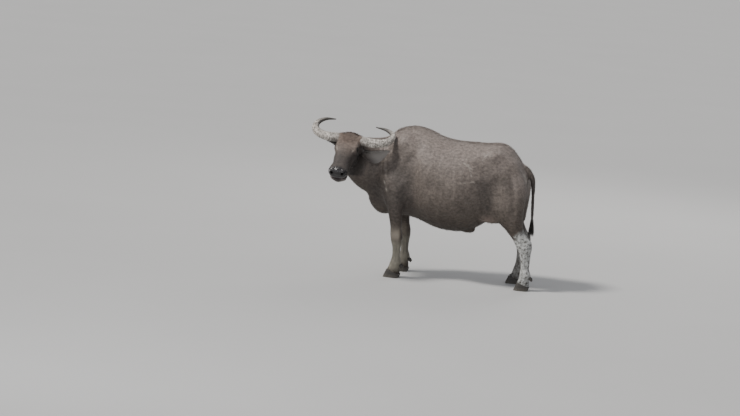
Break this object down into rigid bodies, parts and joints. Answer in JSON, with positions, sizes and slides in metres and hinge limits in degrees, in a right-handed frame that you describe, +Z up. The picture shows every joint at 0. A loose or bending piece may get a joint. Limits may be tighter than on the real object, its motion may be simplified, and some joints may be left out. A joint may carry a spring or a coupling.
{
  "type": "water buffalo figure",
  "caption": "Life-size standing swamp water buffalo, head turned to its left, with crescent horns, cloven hooves and a hanging tufted tail.",
  "frame": {"origin": "centre of the bounding box at the level of the soles", "axes": "+Z up; the animal faces -X, its left side is at -Y, and its head is turned to its left"},
  "size_m": [2.052, 0.9946, 1.3325],
  "materials": {
    "hide": "dark grey-brown skin with short, sparse hair",
    "horn": "weathered grey horn, ridged across",
    "hoof_horn": "dull dark hoof horn",
    "eye": "wet, near black",
    "tail_hair": "coarse black hair"
  },
  "bodies": {
    "root": {"torso": "hide", "neck": "hide", "head": "hide", "ear_left": "hide", "ear_right": "hide", "foreleg_left": "hide", "foreleg_right": "hide", "hindleg_left": "hide", "hindleg_right": "hide", "tail": "hide", "tail_switch": "tail_hair", "eye_left": "eye", "eye_right": "eye", "horn_left": "horn", "horn_right": "horn", "claw_fore_left_outer": "hoof_horn", "claw_fore_left_inner": "hoof_horn", "claw_fore_right_outer": "hoof_horn", "claw_fore_right_inner": "hoof_horn", "claw_hind_left_outer": "hoof_horn", "claw_hind_left_inner": "hoof_horn", "claw_hind_right_outer": "hoof_horn", "claw_hind_right_inner": "hoof_horn", "dewclaw_fore_left_outer": "hoof_horn", "dewclaw_fore_left_inner": "hoof_horn", "dewclaw_fore_right_outer": "hoof_horn", "dewclaw_fore_right_inner": "hoof_horn", "dewclaw_hind_left_outer": "hoof_horn", "dewclaw_hind_left_inner": "hoof_horn", "dewclaw_hind_right_outer": "hoof_horn", "dewclaw_hind_right_inner": "hoof_horn"}
  },
  "joints": []
}
